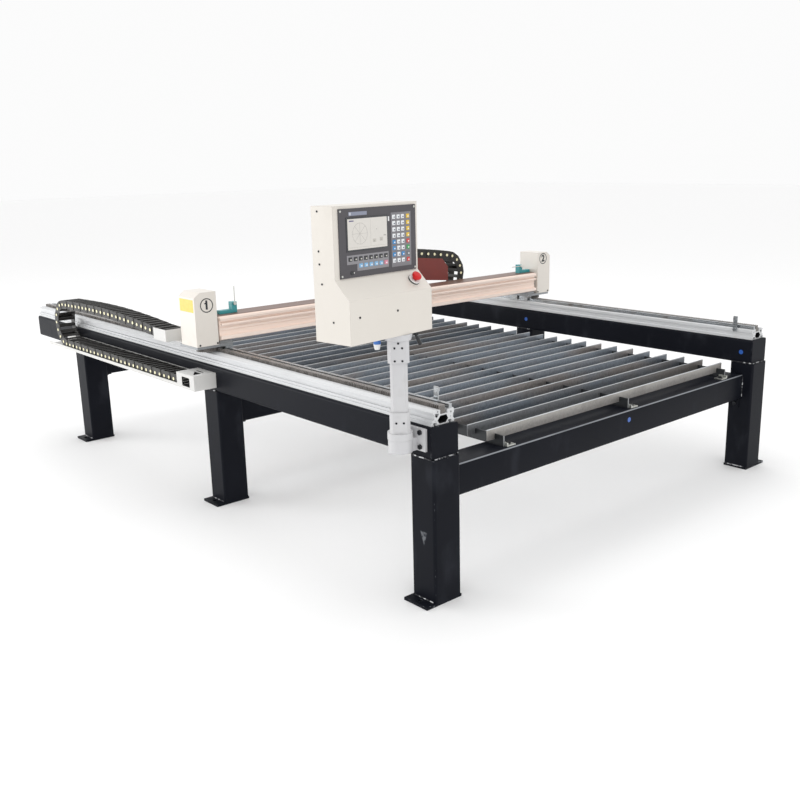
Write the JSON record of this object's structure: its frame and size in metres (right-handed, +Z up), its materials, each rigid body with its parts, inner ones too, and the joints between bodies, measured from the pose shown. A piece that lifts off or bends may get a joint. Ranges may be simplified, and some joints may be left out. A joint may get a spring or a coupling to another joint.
{
  "type": "cnc plasma cutting table",
  "caption": "Gantry cutting table: welded frame with slat bed, rails, travelling gantry, torch lifter carriage, energy chains and a console on a side post",
  "frame": {"origin": "on the floor, below the middle of the part's box", "axes": "X across the table to its right, Y from the front to the back along the rails, Z up"},
  "size_m": [2.4996, 3.34, 1.325],
  "materials": {
    "frame_paint": "semi-gloss charcoal paint with scuffs",
    "black_bolts": "blackened steel bolts",
    "galvanised_slats": "galvanised flat bar with bright edges",
    "bright_steel": "bare machined steel",
    "rail_aluminium": "matt anodised extrusion",
    "guide_steel": "ground steel",
    "rack_steel": "oiled steel",
    "white_sheet": "off-white powder coat",
    "chain_plastic": "black nylon",
    "beam_aluminium": "extrusion under protective film",
    "dark_plate": "dark painted steel plate",
    "motor_black": "black painted housings",
    "switch_teal": "turquoise plastic",
    "arm_paint": "red-brown paint",
    "lifter_aluminium": "anodised",
    "torch_black": "black heat-proof plastic",
    "post_paint": "pale grey powder coat",
    "lever_black": "black plastic",
    "console_paint": "warm white powder coat",
    "panel_grey": "dark grey membrane",
    "screen_glass": "lit display under glass",
    "key_plastic": "printed membrane keys",
    "collar_plastic": "pale collar",
    "stop_red": "red mushroom",
    "gland_plastic": "plastic cable gland"
  },
  "bodies": {
    "frame": {"legs": "frame_paint", "side_beams": "frame_paint", "beam_end_caps": "frame_paint", "front_cross_beam": "frame_paint", "middle_cross_beam": "frame_paint", "rear_cross_beam": "frame_paint", "cross_beam_angles": "frame_paint", "frame_bolts": "black_bolts", "slats": "galvanised_slats", "slat_supports": "galvanised_slats", "support_clips": "bright_steel", "rails": "rail_aluminium", "rail_guides": "guide_steel", "rail_racks": "rack_steel", "rail_stops": "bright_steel", "chain_tray": "white_sheet", "chain_anchor": "white_sheet", "y_chain_lower": "chain_plastic", "post": "post_paint"},
    "gantry": {"gantry_beam": "beam_aluminium", "end_bases": "dark_plate", "bearing_blocks": "guide_steel", "left_cover": "white_sheet", "right_cover": "white_sheet", "gantry_motors": "motor_black", "beam_guides": "guide_steel", "beam_rack": "rack_steel", "limit_switches": "switch_teal", "beam_chain_tray": "white_sheet", "chain_holder": "white_sheet", "y_chain_upper": "chain_plastic", "x_chain_lower": "chain_plastic"},
    "left_pinion": {"left_pinion": "bright_steel"},
    "right_pinion": {"right_pinion": "bright_steel"},
    "left_switch_lever": {"left_switch_lever": "bright_steel"},
    "right_switch_lever": {"right_switch_lever": "bright_steel"},
    "y_chain_bend_lower": {"y_chain_loop_lower": "chain_plastic"},
    "y_chain_bend_upper": {"y_chain_loop_upper": "chain_plastic"},
    "carriage": {"carriage_plate": "dark_plate", "carriage_blocks": "guide_steel", "carriage_motors": "motor_black", "lifter_housing": "lifter_aluminium", "chain_arm": "arm_paint", "x_chain_upper": "chain_plastic"},
    "x_chain_bend_lower": {"x_chain_loop_lower": "chain_plastic"},
    "x_chain_bend_upper": {"x_chain_loop_upper": "chain_plastic"},
    "carriage_pinion": {"carriage_pinion": "bright_steel"},
    "lifter_screw": {"lifter_screw": "bright_steel"},
    "torch_slide": {"lifter_slide": "lifter_aluminium", "torch": "torch_black"},
    "console": {"console_neck": "post_paint", "console_box": "console_paint", "control_panel": "panel_grey", "panel_screen": "screen_glass", "panel_keys": "key_plastic", "emergency_stop_collar": "collar_plastic", "cable_gland": "gland_plastic", "console_screws": "bright_steel"},
    "clamp_lever": {"clamp_lever": "lever_black"},
    "emergency_stop_button": {"emergency_stop_button": "stop_red"}
  },
  "joints": [
    {"name": "gantry_travel", "type": "slide", "parent": "frame", "child": "gantry", "axis": [0, 1, 0], "range_m": [-1.07, 1.43], "deforming": ["y_chain_lower", "y_chain_loop_lower", "y_chain_loop_upper", "y_chain_upper"]},
    {"name": "carriage_travel", "type": "slide", "parent": "gantry", "child": "carriage", "axis": [1, 0, 0], "range_m": [-0.6, 0.95], "deforming": ["x_chain_lower", "x_chain_loop_lower", "x_chain_loop_upper", "x_chain_upper"]},
    {"name": "torch_lift", "type": "slide", "parent": "carriage", "child": "torch_slide", "axis": [0, 0, 1], "range_m": [-0.145, 0]},
    {"name": "left_pinion_spin", "type": "hinge", "parent": "gantry", "child": "left_pinion", "pos_m": [-0.92306, -0.22772, 0.68], "axis": [0, 0, 1], "range_deg": [-2105, 1575]},
    {"name": "right_pinion_spin", "type": "hinge", "parent": "gantry", "child": "right_pinion", "pos_m": [1.17374, -0.22772, 0.68], "axis": [0, 0, 1], "range_deg": [-1575, 2105]},
    {"name": "carriage_pinion_spin", "type": "hinge", "parent": "carriage", "child": "carriage_pinion", "pos_m": [0.10544, -0.295, 0.76713], "axis": [0, 1, 0], "range_deg": [-3405, 2152]},
    {"name": "lifter_screw_spin", "type": "hinge", "parent": "carriage", "child": "lifter_screw", "pos_m": [0.02684, -0.3576, 0.8], "axis": [0, 0, 1], "range_deg": [-5225, 5]},
    {"name": "y_chain_lower_feed", "type": "slide", "parent": "frame", "child": "y_chain_bend_lower", "axis": [0, 1, 0], "range_m": [-0.54, 0.72]},
    {"name": "y_chain_upper_feed", "type": "slide", "parent": "gantry", "child": "y_chain_bend_upper", "axis": [0, 1, 0], "range_m": [-0.72, 0.54]},
    {"name": "x_chain_lower_feed", "type": "slide", "parent": "gantry", "child": "x_chain_bend_lower", "axis": [1, 0, 0], "range_m": [-0.305, 0.48]},
    {"name": "x_chain_upper_feed", "type": "slide", "parent": "carriage", "child": "x_chain_bend_upper", "axis": [1, 0, 0], "range_m": [-0.48, 0.305]},
    {"name": "left_switch_trip", "type": "hinge", "parent": "gantry", "child": "left_switch_lever", "pos_m": [-0.78086, -0.248, 0.86275], "axis": [0, 1, 0], "range_deg": [-25, 25], "stiffness_Nm_per_rad": 0.05},
    {"name": "right_switch_trip", "type": "hinge", "parent": "gantry", "child": "right_switch_lever", "pos_m": [1.06044, -0.248, 0.86275], "axis": [0, 1, 0], "range_deg": [-25, 0], "stiffness_Nm_per_rad": 0.05},
    {"name": "console_turn", "type": "hinge", "parent": "frame", "child": "console", "pos_m": [-0.99416, -1.574, 0.89], "axis": [0, 0, 1], "range_deg": [-45, 30]},
    {"name": "clamp_lever_turn", "type": "hinge", "parent": "console", "child": "clamp_lever", "pos_m": [-0.90995, -1.56396, 0.915], "axis": [0, 0, 1], "range_deg": [-60, 60]},
    {"name": "emergency_stop_press", "type": "slide", "parent": "console", "child": "emergency_stop_button", "axis": [0.083, -0.6959, 0.7133], "range_m": [-0.005, 0], "stiffness_N_per_m": 800}
  ],
  "couplings": [
    {"joint": "left_pinion_spin", "follows": "gantry_travel", "rad_per_m": -25.641},
    {"joint": "right_pinion_spin", "follows": "gantry_travel", "rad_per_m": 25.641},
    {"joint": "carriage_pinion_spin", "follows": "carriage_travel", "rad_per_m": -62.5},
    {"joint": "lifter_screw_spin", "follows": "torch_lift", "rad_per_m": 628.32},
    {"joint": "y_chain_lower_feed", "follows": "gantry_travel", "ratio": 0.5},
    {"joint": "y_chain_upper_feed", "follows": "gantry_travel", "ratio": -0.5},
    {"joint": "x_chain_lower_feed", "follows": "carriage_travel", "ratio": 0.5},
    {"joint": "x_chain_upper_feed", "follows": "carriage_travel", "ratio": -0.5}
  ]
}
